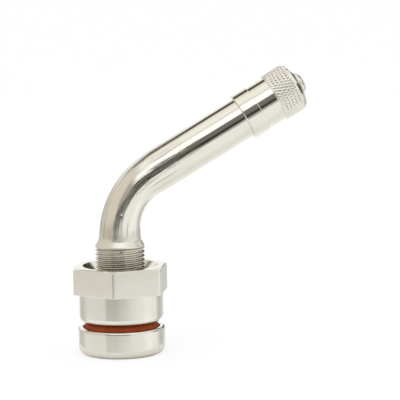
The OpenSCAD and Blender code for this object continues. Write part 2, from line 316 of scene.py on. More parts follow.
class Tree:
    """Short hand for building a node tree."""

    def __init__(self, tree: NodeTree) -> None:
        """Keeps the tree and empties it."""
        self.tree = tree
        tree.nodes.clear()

    @classmethod
    def group(cls, name: str, kind: str, inputs: dict[str, str], outputs: dict[str, str]) -> "Tree":
        """Starts a node group with its sockets.

        Args:
            name: the group's name.
            kind: type of its tree.
            inputs: kind of socket by input name.
            outputs: kind of socket by output name.

        Returns:
            The empty group.
        """
        tree = bpy.data.node_groups.new(name, kind)
        for way, sockets in (("INPUT", inputs), ("OUTPUT", outputs)):
            for label, holds in sockets.items():
                tree.interface.new_socket(label, in_out=way, socket_type=f"NodeSocket{holds}")
        return cls(tree)

    def node(self, kind: str, **settings: object) -> Node:
        """Adds a node.

        Args:
            kind: the node's type.
            settings: properties to set on it.

        Returns:
            The node.
        """
        made = self.tree.nodes.new(kind)
        for key, value in settings.items():
            setattr(made, key, value)
        return made

    def feed(self, socket: NodeSocket, value: object) -> None:
        """Links a socket, or sets it to a plain value.

        Args:
            socket: the input to feed.
            value: another node's output, or a plain value.
        """
        if isinstance(value, NodeSocket):
            self.tree.links.new(value, socket)
        else:
            socket.default_value = value

    def put(self, kind: str, given: dict[str, object] | dict[int, object], **settings: object) -> Outputs:
        """Adds a node and feeds it.

        Args:
            kind: the node's type.
            given: sockets or plain values by input.
            settings: properties to set on it.

        Returns:
            Its outputs.
        """
        made = self.node(kind, **settings)
        for key, value in given.items():
            self.feed(made.inputs[key], value)
        return made.outputs

    def show(self, kind: str, look: dict[str, object] | dict[int, object]) -> None:
        """Ends a material's tree with a shader."""
        self.put("ShaderNodeOutputMaterial", {"Surface": self.put(kind, look)[0]})

    def use(self, group: NodeTree, **given: object) -> Outputs:
        """Adds a shared group, fed by the names of its inputs."""
        return self.put("ShaderNodeGroup", given, node_tree=group)

    def noise(self, vector: Value, scale: Value, detail: float) -> NodeSocket:
        """Adds noise that lies about 0.5."""
        given = {"Vector": vector, "Scale": scale, "Detail": detail}
        return self.put("ShaderNodeTexNoise", given, noise_dimensions="3D")["Fac"]

    def math(self, op: str, *values: Value, clamp: bool = False) -> NodeSocket:
        """Adds a math node, whose result may be held between 0 and 1."""
        return self.put("ShaderNodeMath", dict(enumerate(values)), operation=op, use_clamp=clamp)[0]

    def times(self, *values: Value) -> NodeSocket:
        """Multiplies values in turn."""
        return reduce(lambda a, b: self.math("MULTIPLY", a, b), values)

    def window(self, value: Value, *span: float) -> NodeSocket:
        """Rises from 0 to 1 between the span's first two values and falls again between its last two."""
        return self.times(self.ramp(value, *span[:2]), self.ramp(value, *span[2:], 1.0, 0.0))

    def ramp(self, value: Value, low: Value, high: Value, start: Value = 0.0, end: Value = 1.0,
             smooth: bool = True) -> NodeSocket:
        """Maps a range of values to another, held at both ends.

        Args:
            value: the value.
            low: where the ramp starts.
            high: where it ends.
            start: result at its start.
            end: result at its end.
            smooth: whether it eases in and out.

        Returns:
            The result.
        """
        given = {"Value": value, "From Min": low, "From Max": high, "To Min": start, "To Max": end}
        ease = "SMOOTHSTEP" if smooth else "LINEAR"
        return self.put("ShaderNodeMapRange", given, interpolation_type=ease)["Result"]

    def blend(self, share: Value, a: object, b: object) -> NodeSocket:
        """Mixes two colours.

        Args:
            share: share of the second one.
            a: the first colour.
            b: the second colour.

        Returns:
            The mixed colour.
        """
        made = self.node("ShaderNodeMix", data_type="RGBA")
        for name, x in (("Factor_Float", share), ("A_Color", a), ("B_Color", b)):
            socket = next(s for s in made.inputs if s.identifier == name)
            self.feed(socket, x if isinstance(x, (NodeSocket, float, int)) else (*x, 1.0))
        return next(s for s in made.outputs if s.identifier == "Result_Color")


class Effect:
    """Shader node groups that several finishes share, each built once."""

    TURNED_STRETCH = (0.03, 0.03, 1.0)
    DRAWN_SCALE = 2.6
    DRAWN_RUN = (0.0, 0.04, 0.6, 1.0)
    DRAWN_DEEP = (0.54, 0.66)
    CLOUDS = (("Cloud", 1.0, 4.0), ("Speck", 9.0, 2.0))
    HAIR_WAYS = (((0.4, 0.9, 0.2), (9.0, 0.5, 3.0)), ((1.1, 0.3, 0.8), (0.6, 8.0, 2.0)))
    HAIR_WIDTH = 0.012
    HAIR_PATCH, HAIR_PATCH_SCALE = (0.55, 0.7), 0.35

    @staticmethod
    def _start(name: str, inputs: Sequence[str], outputs: Sequence[str]) -> tuple[Tree, Outputs, Outputs]:
        """Starts a group.

        Args:
            name: its name.
            inputs: names of its inputs, all numbers but for Vector.
            outputs: names of its outputs, all numbers.

        Returns:
            Its tree, the sockets given to it and the sockets of its results.
        """
        kinds = {label: "Vector" if label == "Vector" else "Float" for label in inputs}
        t = Tree.group(name, "ShaderNodeTree", kinds, dict.fromkeys(outputs, "Float"))
        return t, t.node("NodeGroupInput").outputs, t.node("NodeGroupOutput").inputs

    @staticmethod
    @cache
    def turned_lines() -> NodeTree:
        """Fine lines that a turning tool leaves round an axis.

        Returns:
            Group with inputs Vector, Scale and output Height.
        """
        t, given, result = Effect._start("turned_lines", ("Vector", "Scale"), ("Height",))
        parts = t.put("ShaderNodeSeparateXYZ", {0: given["Vector"]})
        stretched = {k: t.times(parts[k], share) for k, share in enumerate(Effect.TURNED_STRETCH)}
        lines = t.put("ShaderNodeCombineXYZ", stretched)[0]
        t.feed(result["Height"], t.noise(lines, given["Scale"], 3.0))
        return t.tree

    @staticmethod
    @cache
    def drawn_lines() -> NodeTree:
        """Fine lines along a bent tube, fading out where the vector's last part reaches 1.

        Returns:
            Group with input Vector and outputs Height and Mask, the mask of the deeper lines.
        """
        t, given, result = Effect._start("drawn_lines", ("Vector",), ("Height", "Mask"))
        along = t.put("ShaderNodeSeparateXYZ", {0: given["Vector"]})[2]
        lines = t.noise(given["Vector"], Effect.DRAWN_SCALE, 3.0)
        there = t.window(along, *Effect.DRAWN_RUN)
        t.feed(result["Height"], t.times(t.math("SUBTRACT", lines, 0.5), there))
        t.feed(result["Mask"], t.times(t.ramp(lines, *Effect.DRAWN_DEEP), there))
        return t.tree

    @staticmethod
    @cache
    def cloudiness() -> NodeTree:
        """Slow change of tone over plating or rubber, with fine specks in it.

        Returns:
            Group with inputs Vector, Scale and outputs Cloud, Speck.
        """
        t, given, result = Effect._start("cloudiness", ("Vector", "Scale"), ("Cloud", "Speck"))
        for label, times, detail in Effect.CLOUDS:
            scale = t.times(given["Scale"], times)
            t.feed(result[label], t.noise(given["Vector"], scale, detail))
        return t.tree

    @staticmethod
    @cache
    def hairlines() -> NodeTree:
        """Sparse thin scratches from handling.

        Returns:
            Group with inputs Vector, Scale, Amount and output Mask.
        """
        t, given, result = Effect._start("hairlines", ("Vector", "Scale", "Amount"), ("Mask",))
        lines = []
        for turn, stretch in Effect.HAIR_WAYS:
            turned = {"Vector": given["Vector"], "Rotation": turn, "Scale": stretch}
            wave = t.noise(t.put("ShaderNodeMapping", turned)[0], given["Scale"], 1.0)
            off = t.math("ABSOLUTE", t.math("SUBTRACT", wave, 0.5))
            lines.append(t.ramp(off, 0.0, Effect.HAIR_WIDTH, 1.0, 0.0))
        patches = t.noise(given["Vector"], t.times(given["Scale"], Effect.HAIR_PATCH_SCALE), 2.0)
        sparse = t.ramp(patches, *Effect.HAIR_PATCH)
        t.feed(result["Mask"], t.times(t.math("MAXIMUM", *lines), sparse, given["Amount"]))
        return t.tree


# Finishes


DRAWN = "drawn"
BRIGHT_NICKEL = (0.765, 0.735, 0.66)
WORN_NICKEL = (0.36, 0.345, 0.31)
CLOUDED_NICKEL = (0.73, 0.70, 0.625)


def new_material(name: str) -> tuple[Material, Tree]:
    """Starts a material.

    Args:
        name: its name.

    Returns:
        The material and its empty tree.
    """
    made = bpy.data.materials.new(name)
    made.use_nodes = True
    return made, Tree(made.node_tree)


@dataclass(frozen=True)
class PaintedShade:
    """Painted shade in the thread about the shank: the colour is darkened on the flanks and darkest where
    the nut's top stands, in place of the thread's own shade and the dark nut that it mirrors.

    Attributes:
        tone: colour of the painted shade.
        middle_r: radius halfway up the thread's flanks.
        low: height at which the thread begins.
        foot: height at which the painted shade is darkest.
        top: height at which it has faded out.
    """

    FLANK = (0.05, 0.15)
    THIN_RUN, THIN_SHARE = 3.0, 0.3
    FLAT_SHARE, EDGE = 0.6, 0.2

    tone: Colour
    middle_r: float
    low: float
    foot: float
    top: float

    def share(self, t: Tree, across: Value, height: Value) -> NodeSocket:
        """Share of the painted shade at a point.

        Args:
            t: the tree being built.
            across: distance from the shank's axis in metres.
            height: height in metres.

        Returns:
            Share from 0 to 1.
        """
        off = t.math("ABSOLUTE", t.math("SUBTRACT", across, self.middle_r * MM))
        low, foot, top, edge = (v * MM for v in (self.low, self.foot, self.top, self.EDGE))
        flank = t.ramp(off, *(v * MM for v in self.FLANK), 1.0, 0.0)
        foot_shade = t.times(t.ramp(height, foot, top, 1.0, 0.0, smooth=False),
                       t.ramp(height, foot - self.THIN_RUN * MM, foot, self.THIN_SHARE, 1.0))
        flank_shade = t.times(t.math("MULTIPLY_ADD", foot_shade, 1 - self.FLAT_SHARE, self.FLAT_SHARE), flank)
        within = t.window(height, low, low + edge, top - edge, top)
        return t.times(t.math("MAXIMUM", flank_shade, t.times(foot_shade, self.FLAT_SHARE)), within)


@dataclass(frozen=True)
class Nickel:
    """Nickel plating on turned brass.

    Attributes:
        name: name of the finish.
        tone: colour of the plating.
        shade: colour where it is cloudy.
        rough: roughness at the foot.
        zones: heights in millimetres, each with the roughness that holds above it.
        axis: axis that the tool lines run round.
        line_scale: tool lines to the metre.
        line_depth: depth of the tool lines in metres.
        scratches: strength of the scratches.
        painted_shade: painted shade in the piece's thread, if any.
        drawn: depth in metres of the lines along a bent tube, where the piece has their attribute.
    """

    CLOUD_SCALE = 260.0
    HAIR_SCALE = 420.0
    CLOUDY = (0.4, 0.75)
    ZONE_EDGE = 0.4
    LINE_ROUGH = 0.05
    SPECK_ROUGH = 0.03
    HAIR_ROUGH = 0.12
    DRAWN_ROUGH = 0.04
    DRAWN_TONE = 0.6

    name: str
    tone: Colour = BRIGHT_NICKEL
    shade: Colour = CLOUDED_NICKEL
    rough: float = 0.15
    zones: tuple[Point2, ...] = ()
    axis: Placement = SHANK_AXIS
    line_scale: float = 5200.0
    line_depth: float = 6.0e-7
    scratches: float = 0.3
    painted_shade: PaintedShade | None = None
    drawn: float = 0.0

    def material(self) -> Material:
        """Builds the material.

        Returns:
            The material.
        """
        made, t = new_material(self.name)
        where = t.node("ShaderNodeTexCoord").outputs["Object"]
        stand = {"Vector": where, "Location": (0.0, 0.0, self.axis.lift * MM),
                 "Rotation": (0.0, radians(self.axis.lean_deg), 0.0)}
        upright = t.put("ShaderNodeMapping", stand, vector_type="TEXTURE")[0]
        line = t.use(Effect.turned_lines(), Vector=upright, Scale=self.line_scale)["Height"]
        cloud = t.use(Effect.cloudiness(), Vector=where, Scale=self.CLOUD_SCALE)
        hair = t.use(Effect.hairlines(), Vector=where, Scale=self.HAIR_SCALE, Amount=self.scratches)["Mask"]
        cloudy = t.ramp(cloud["Cloud"], *self.CLOUDY)
        colour = t.blend(t.math("MAXIMUM", cloudy, hair), self.tone, self.shade)
        x, y, z = t.put("ShaderNodeSeparateXYZ", {0: where})
        # Painted shade: the colour is darkened on the thread's flanks and at its foot by the nut.
        if self.painted_shade:
            across = t.math("SQRT", t.math("ADD", t.math("POWER", x, 2.0), t.math("POWER", y, 2.0)))
            colour = t.blend(self.painted_shade.share(t, across, z), colour, self.painted_shade.tone)
        rough: Value = self.rough
        below = self.rough
        for height, above in self.zones:
            step = t.ramp(z, (height - self.ZONE_EDGE) * MM, (height + self.ZONE_EDGE) * MM)
            rough = t.math("MULTIPLY_ADD", step, above - below, rough)
            below = above
        for value, share in ((line, self.LINE_ROUGH), (cloud["Speck"], self.SPECK_ROUGH)):
            rough = t.math("MULTIPLY_ADD", t.math("SUBTRACT", value, 0.5), share, rough)
        rough = t.math("MULTIPLY_ADD", hair, self.HAIR_ROUGH, rough, clamp=True)
        ridges = {"Strength": 1.0, "Distance": self.line_depth, "Height": t.math("SUBTRACT", line, hair)}
        normal = t.put("ShaderNodeBump", ridges)[0]
        if self.drawn:
            tube = t.node("ShaderNodeAttribute", attribute_name=DRAWN).outputs["Vector"]
            drawn = t.use(Effect.drawn_lines(), Vector=tube)
            rough = t.math("MULTIPLY_ADD", drawn["Mask"], self.DRAWN_ROUGH, rough, clamp=True)
            colour = t.blend(t.times(drawn["Mask"], self.DRAWN_TONE), colour, WORN_NICKEL)
            ridges = {"Strength": 1.0, "Distance": self.drawn, "Height": drawn["Height"], "Normal": normal}
            normal = t.put("ShaderNodeBump", ridges)[0]
        look = {"Metallic": 1.0, "Base Color": colour, "Roughness": rough, "Normal": normal}
        t.show("ShaderNodeBsdfPrincipled", look)
        return made


@dataclass(frozen=True)
class Rubber:
    """Moulded rubber with a dull skin and faint specks.

    Attributes:
        name: name of the finish.
        tone: colour of the rubber.
        bloom: colour of its paler patches.
        rough: roughness of the skin.
    """

    CLOUD_SCALE = 320.0
    PATCH = (0.42, 0.72)
    SPECK = (0.62, 0.7)
    PATCH_ROUGH = 0.2
    GRAIN = {"Strength": 0.6, "Distance": 3.0e-5}
    SHEEN = 0.12

    name: str
    tone: Colour
    bloom: Colour
    rough: float

    def material(self) -> Material:
        """Builds the material.

        Returns:
            The material.
        """
        made, t = new_material(self.name)
        where = t.node("ShaderNodeTexCoord").outputs["Object"]
        cloud = t.use(Effect.cloudiness(), Vector=where, Scale=self.CLOUD_SCALE)
        pale = t.math("MAXIMUM", t.ramp(cloud["Cloud"], *self.PATCH), t.ramp(cloud["Speck"], *self.SPECK))
        rough = t.math("MULTIPLY_ADD", t.math("SUBTRACT", cloud["Cloud"], 0.5), self.PATCH_ROUGH, self.rough)
        normal = t.put("ShaderNodeBump", {**self.GRAIN, "Height": cloud["Speck"]})[0]
        look = {"Specular IOR Level": self.SHEEN, "Base Color": t.blend(pale, self.tone, self.bloom),
                "Roughness": rough, "Normal": normal}
        t.show("ShaderNodeBsdfPrincipled", look)
        return made


# The stem's thread carries painted shade, darkest on the flanks and by the nut.
STEM_FINISH = Nickel("nickel_on_stem", zones=((6.0, 0.17), (20.7, 0.32), (22.6, 0.09), (27.5, 0.06)),
                     line_depth=5.0e-7, painted_shade=PaintedShade((0.2, 0.18, 0.14), 4.57, 7.0, 16.0, 21.0), drawn=6.0e-5)
CAP_FINISH = Nickel("nickel_on_cap", rough=0.09, axis=ARM_AXIS, line_depth=4.0e-7)
NUT_FINISH = Nickel("nickel_on_nut")
BRASS_FINISH = Nickel("bare_brass", (0.72, 0.52, 0.2), (0.6, 0.42, 0.16), rough=0.2, axis=ARM_AXIS,
                      line_scale=6000.0, line_depth=2.0e-6)
STEEL_FINISH = Nickel("drawn_wire", (0.55, 0.55, 0.56), (0.45, 0.45, 0.46), rough=0.25, axis=ARM_AXIS,
                      line_scale=6000.0, line_depth=1.0e-6)
RED_FINISH = Rubber("rust_red_rubber", (0.27, 0.046, 0.011), (0.32, 0.06, 0.017), 0.6)
BLACK_FINISH = Rubber("black_rubber", (0.018, 0.018, 0.018), (0.03, 0.03, 0.03), 0.6)


# Bands that follow a rule


@dataclass(frozen=True)
class RuleBand:
    """Turned band made by geometry nodes, upright and in metres.

    Attributes:
        name: name of its node tree.
        radius: outside radius.
        depth: depth of the grooves.
        pitch: advance of a thread in one turn, or length of a knurl diamond.
        start: height of its lower end.
        length: its length.
        fade_in: length over which the grooves set in.
        fade_out: length over which they run out.
        around: points round it.
        rows: rows of points along it.
    """

    SEAM = 1e-7

    name: str
    radius: float
    depth: float
    pitch: float
    start: float
    length: float
    fade_in: float
    fade_out: float
    around: int
    rows: int

    def groove(self, t: Tree, turn: Value, along: Value, pitch: Value) -> NodeSocket:
        """Depth of the groove at a point; each kind of band has its own rule.

        Args:
            t: the tree being built.
            turn: share of a turn round the axis.
            along: distance along the axis.
            pitch: the band's pitch.

        Returns:
            Depth from 0 to 1.
        """
        raise NotImplementedError

    def sizes(self) -> dict[str, float]:
        """Gives the tree's inputs in metres."""
        return {"Radius": self.radius * MM, "Depth": self.depth * MM, "Pitch": self.pitch * MM,
                "Start": self.start * MM, "Length": self.length * MM, "Fade In": self.fade_in * MM,
                "Fade Out": self.fade_out * MM}

    def tree(self, finish: Material) -> NodeTree:
        """Builds the node tree.

        Args:
            finish: not used; the material comes in through the tree's Finish input.

        Returns:
            The tree.
        """
        kinds = dict.fromkeys(self.sizes(), "Float")
        kinds |= {"Around": "Int", "Rows": "Int", "Finish": "Material"}
        t = Tree.group(self.name, "GeometryNodeTree", kinds, {"Geometry": "Geometry"})
        given = t.node("NodeGroupInput").outputs
        sheet = {"Size X": 1.0, "Size Y": 1.0, "Vertices X": t.math("ADD", given["Around"], 1),
                 "Vertices Y": t.math("ADD", given["Rows"], 1)}
        grid = t.put("GeometryNodeMeshGrid", sheet)["Mesh"]
        x, y, _ = t.put("ShaderNodeSeparateXYZ", {0: t.node("GeometryNodeInputPosition").outputs[0]})
        turn = t.math("ADD", x, 0.5)
        along = t.times(t.math("ADD", y, 0.5), given["Length"])
        left = t.math("SUBTRACT", given["Length"], along)
        cut = self.groove(t, turn, along, given["Pitch"])
        for distance, label in ((along, "Fade In"), (left, "Fade Out")):
            cut = t.times(cut, t.ramp(distance, 0.0, given[label]))
        r = t.math("SUBTRACT", given["Radius"], t.times(cut, given["Depth"]))
        angle = t.times(turn, tau)
        spot = {k: t.times(r, t.math(op, angle)) for k, op in enumerate(("COSINE", "SINE"))}
        spot[2] = t.math("ADD", along, given["Start"])
        place = t.put("ShaderNodeCombineXYZ", spot)[0]
        placed = t.put("GeometryNodeSetPosition", {"Geometry": grid, "Position": place})[0]
        merged = t.put("GeometryNodeMergeByDistance", {"Geometry": placed, "Distance": self.SEAM})[0]
        real = t.put("GeometryNodeRealizeInstances", {0: merged})[0]
        dressed = t.put("GeometryNodeSetMaterial", {"Geometry": real, "Material": given["Finish"]})[0]
        t.put("NodeGroupOutput", {0: dressed})
        return t.tree

    def mesh(self, finish: Material) -> Mesh:
        """Runs the tree once and keeps the plain mesh.

        Args:
            finish: material of the band.

        Returns:
            The mesh.
        """
        tree = self.tree(finish)
        carrier = add_object(self.name, bpy.data.meshes.new(self.name))
        modifier = carrier.modifiers.new(self.name, "NODES")
        modifier.node_group = tree
        values = {**self.sizes(), "Around": self.around, "Rows": self.rows, "Finish": finish}
        for item in tree.interface.items_tree:
            if item.in_out == "INPUT":
                modifier[item.identifier] = values[item.name]
        graph = bpy.context.evaluated_depsgraph_get()
        result = bpy.data.meshes.new_from_object(carrier.evaluated_get(graph))
        carrier.modifiers.remove(modifier)
        empty = carrier.data
        bpy.data.objects.remove(carrier)
        bpy.data.meshes.remove(empty)
        return result


@dataclass(frozen=True)
class Thread(RuleBand):
    """Right-hand screw thread with flat crests.

    Attributes:
        start_turn: share of a turn by which the groove starts early.
    """

    FLANK = (0.12, 0.88)

    start_turn: float = 0.0

    def groove(self, t: Tree, turn: Value, along: Value, pitch: Value) -> NodeSocket:
        """Depth of the thread's groove at a point.

        Args:
            t: the tree being built.
            turn: share of a turn round the axis.
            along: distance along the axis.
            pitch: the band's pitch.

        Returns:
            Depth from 0 to 1.
        """
        steps = t.math("ADD", t.math("DIVIDE", along, pitch), self.start_turn)
        phase = t.math("FRACT", t.math("SUBTRACT", steps, turn))
        from_middle = t.math("ABSOLUTE", t.math("MULTIPLY_ADD", phase, 2.0, -1.0))
        return t.ramp(from_middle, *self.FLANK)


@dataclass(frozen=True)
class Knurl(RuleBand):
    """Diamond knurl with dulled points.

    Attributes:
        diamonds: diamonds round the band.
    """

    GROOVE_WIDTH = 0.7
    LINE_SHARE = 0.2

    diamonds: int = 46

    def groove(self, t: Tree, turn: Value, along: Value, pitch: Value) -> NodeSocket:
        """Depth below the diamonds' points.

        Args:
            t: the tree being built.
            turn: share of a turn round the axis.
            along: distance along the axis.
            pitch: the band's pitch.

        Returns:
            Depth from 0 to 1.
        """
        round_way = t.times(turn, float(self.diamonds))
        steps = t.math("DIVIDE", along, pitch)
        rises = [t.math("PINGPONG", t.times(t.math(op, round_way, steps), 2.0), 1.0)
                 for op in ("ADD", "SUBTRACT")]
        grooves = [t.ramp(rise, 0.0, self.GROOVE_WIDTH, 1.0, 0.0, smooth=False) for rise in rises]
        lines = t.times(t.math("MAXIMUM", *grooves), self.LINE_SHARE)
        return t.math("MULTIPLY_ADD", t.times(*grooves), 1 - self.LINE_SHARE, lines)


# The valve's pieces


def finish_piece(piece: Object, body: Body, material: Material, node: str) -> None:
    """Gives a piece its material and its place in the model.

    Args:
        piece: the finished piece.
        body: body that it rides on.
        material: its material.
        node: CAD node that it stands for.
    """
    dress(piece, material)
    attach(piece, body.value)
    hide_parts(node)
    LOG.info("%s: %d faces in place of %s", piece.name, len(piece.data.polygons), node)


@dataclass
class ValveStem:
    """Base, threaded shank, bent tube and cap thread, turned from one bar and bent."""

    around: int = 144
    base_r: float = 8.4
    base_h: float = 5.3
    base_edge_r: float = 1.55
    lip_edge_r: float = 0.7
    groove_r: float = 7.45
    groove_z: float = 3.74
    neck_r: float = 4.6
    neck_top_z: float = 6.9
    shank_r: float = 4.75
    shank_top_z: float = 20.9
    taper_top_z: float = 22.1
    taper_foot: float = 0.15
    taper_head: float = 0.25
    tube_gap: float = 0.3
    tube_r: float = 4.1
    bore_r: float = 1.95
    bend_z: float = 23.97
    bend_r: float = 12.0
    bend_deg: float = ARM_AXIS.lean_deg
    bend_flat: float = 0.15
    bend_flat_in: float = 0.05
    bend_bulge: float = 0.05
    bend_fade: float = 2.0
    bend_tangent: float = 6.928
    drawn_length: float = 30.0
    arm_end: float = 28.186
    thread_r: float = 3.85
    thread_start: float = 28.4
    thread_end: float = 37.65
    mouth: float = 38.138
    mouth_bevel: float = 0.45
    core_bevel: float = 0.3
    core_bore_r: float = 2.65
    core_bore_end: float = 30.838
    seat_top_r: float = 2.35
    seat_end: float = 28.538
    passage_edge: float = 0.5
    pitch: float = 0.794
    thread_depth: float = 0.36
    thread_fade: float = 0.6
    shank_fade: float = 0.35
    shank_start_turn: float = 0.29
    shank_rows: int = 18
    cap_rows: int = 7
    tube_rings: int = 96
    passage_rings: int = 24
    wear: tuple[Nick, ...] = (Nick((-0.16, -4.1, 27.21), (0.0, 1.0, -0.3), 0.24, 0.05),
                              Nick((-0.38, -4.7, 20.27), (0.0, 1.0, 0.0), 0.3, 0.2))

    def build(self) -> None:
        """Builds and dresses the stem."""
        finish = STEM_FINISH.material()
        shape = Shape()
        shape.turned(self.base_outline(), SHANK_AXIS, self.around)
        shape.take(self.shank_thread().mesh(finish), SHANK_AXIS)
        pressed = (self.bend_flat, self.bend_flat_in, self.bend_bulge)
        tube = self.bend_rings(self.tube_r, *pressed, self.tube_rings)
        above_taper = [ring for ring in tube if min(p[2] for p in ring) > self.taper_top_z + self.tube_gap]
        shape.wall(SHANK_AXIS.rings(self.riser_outline(), self.around) + above_taper)
        shape.turned(self.arm_outline(), ARM_AXIS, self.around)
        shape.take(self.cap_thread().mesh(finish), ARM_AXIS)
        shape.turned(self.mouth_outline(), ARM_AXIS, self.around)
        shape.wall(self.bend_rings(self.bore_r, self.bend_flat / 2, 0.0, 0.0, self.passage_rings)[::-1])
        shape.turned([(self.bore_r, self.bend_z - self.bend_fade), (self.bore_r, self.passage_edge),
                      (self.bore_r + self.passage_edge, 0.0)], SHANK_AXIS, self.around)
        shape.press(self.wear)
        stem = shape.made("stem_fine", sharp_deg=70.0)
        drawn = stem.data.attributes.new(DRAWN, "FLOAT_VECTOR", "POINT")
        for vertex, value in zip(stem.data.vertices, drawn.data):
            value.vector = self.along_tube(vertex.co / MM)
        finish_piece(stem, Body.VALVE, finish, "valve_stem")

    def along_tube(self, p: Vector) -> Point3:
        """Place of a point in the tube's own section.

        Args:
            p: the point.

        Returns:
            Distances towards the bend's inner side and to the rear, and the share of the drawn stretch.
        """
        lean = radians(self.bend_deg)
        away = Vector((self.bend_r - p.x, p.z - self.bend_z))
        turn = atan2(away.y, away.x)
        if p.z < self.bend_z:
            inwards, along = p.x, p.z - self.bend_z
        elif 0 <= turn <= lean:
            inwards, along = self.bend_r - away.length, turn * self.bend_r
        else:
            up = p.z - ARM_AXIS.lift
            inwards = p.x * cos(lean) - up * sin(lean)
            along = lean * self.bend_r + p.x * sin(lean) + up * cos(lean) - self.bend_tangent
        return (inwards, p.y, (along + self.bend_z - self.taper_top_z) / self.drawn_length)

    def base_outline(self) -> list[Point2]:
        """Outline from the passage's lower edge round the base to the foot of the thread."""
        return rounded((self.bore_r + self.passage_edge, 0.0), (self.base_r, 0.0, self.base_edge_r),
                       (self.base_r, self.base_h, self.lip_edge_r), (self.groove_r, self.base_h, 0.12),
                       (self.groove_r, self.groove_z, 0.15), (self.neck_r, self.groove_z, 0.15),
                       (self.neck_r, self.neck_top_z), (self.shank_r, self.neck_top_z))

    def shank_thread(self) -> Thread:
        """Works out the thread that the collar nut runs on.

        Returns:
            The thread.
        """
        length = self.shank_top_z - self.neck_top_z
        rows = round(length / self.pitch * self.shank_rows)
        return Thread("shank_thread", self.shank_r, self.thread_depth, self.pitch, self.neck_top_z, length,
                      self.thread_fade, self.shank_fade, self.around, rows, self.shank_start_turn)

    def riser_outline(self) -> list[Point2]:
        """Outline of the taper up to the tube."""
        return rounded((self.shank_r, self.shank_top_z),
                       (self.shank_r, self.shank_top_z + self.taper_foot, 0.3),
                       (self.tube_r, self.taper_top_z, 0.4),
                       (self.tube_r, self.taper_top_z + self.taper_head))

    def bend_rings(self, r: float, flat: float, flat_in: float, bulge: float,
                   steps: int) -> list[list[Point3]]:
        """Rings round the bent part of the tube.

        Args:
            r: radius of the tube.
            flat: share by which its outer side is flattened at the middle of the bend.
            flat_in: share by which its inner side is flattened there.
            bulge: share by which it is widened there.
            steps: rings along it.

        Returns:
            The rings from the shank to the arm.
        """
        lean = radians(self.bend_deg)
        arc = lean * self.bend_r
        run = arc + 2 * self.bend_fade
        rings = []
        for i in range(steps + 1):
            s = run * i / steps - self.bend_fade
            a = lean * max(0.0, min(1.0, s / arc))
            past, below = max(0.0, s - arc), min(0.0, s)
            x = self.bend_r * (1 - cos(a)) + past * sin(lean)
            z = self.bend_z + below + self.bend_r * sin(a) + past * cos(lean)
            grown = sin(pi * i / steps)
            far, near, wide = r * (1 - flat * grown), r * (1 - flat_in * grown), r * (1 + bulge * grown**2)
            ring = []
            for j in range(self.around):
                q = tau * j / self.around
                u = (far if cos(q) < 0 else near) * cos(q)
                ring.append((x + u * cos(a), wide * sin(q), z - u * sin(a)))
            rings.append(ring)
        return rings

    def arm_outline(self) -> list[Point2]:
        """Outline of the straight arm up to the cap thread."""
        return rounded((self.tube_r, self.bend_tangent + self.bend_fade), (self.tube_r, self.arm_end),
                       (self.thread_r, self.arm_end), (self.thread_r, self.thread_start))

    def cap_thread(self) -> Thread:
        """Works out the thread that the cap and an inflator screw on.

        Returns:
            The thread.
        """
        length = self.thread_end - self.thread_start
        rows = round(length / self.pitch * self.cap_rows)
        return Thread("cap_thread", self.thread_r, self.thread_depth, self.pitch, self.thread_start, length,
                      self.thread_fade, self.thread_fade, self.around, rows)

    def mouth_outline(self) -> list[Point2]:
        """Outline over the mouth and down the core's chamber to the bend's passage."""
        return rounded((self.thread_r, self.thread_end), (self.thread_r, self.mouth - self.mouth_bevel, 0.1),
                       (self.thread_r - self.mouth_bevel, self.mouth, 0.06),
                       (self.core_bore_r + self.core_bevel, self.mouth, 0.05),
                       (self.core_bore_r, self.mouth - self.core_bevel),
                       (self.core_bore_r, self.core_bore_end), (self.seat_top_r, self.core_bore_end),
                       (self.bore_r, self.seat_end), (self.bore_r, self.bend_tangent + self.bend_fade))


@dataclass
class SealRing:
    """Rust-red sealing ring in the base's groove."""

    middle_r: float = 5.95
    middle_z: float = 5.06
    cord_r: float = 1.3
    flash: float = 0.025
    flash_width: float = 0.05
    steps: int = 72
    around: int = 192

    def build(self) -> None:
        """Builds and dresses the ring."""
        outline = []
        for k in range(self.steps + 1):
            q = radians(360 * k / self.steps - 90)
            seam = self.flash * exp(-((sin(q) / self.flash_width) ** 2)) if cos(q) > 0 else 0.0
            r = self.cord_r - self.flash + seam
            outline.append((self.middle_r + r * cos(q), self.middle_z + r * sin(q)))
        shape = Shape()
        shape.turned(outline, SHANK_AXIS, self.around)
        ring = shape.made("seal_ring", sharp_deg=60.0)
        finish_piece(ring, Body.VALVE, RED_FINISH.material(), "o_ring")


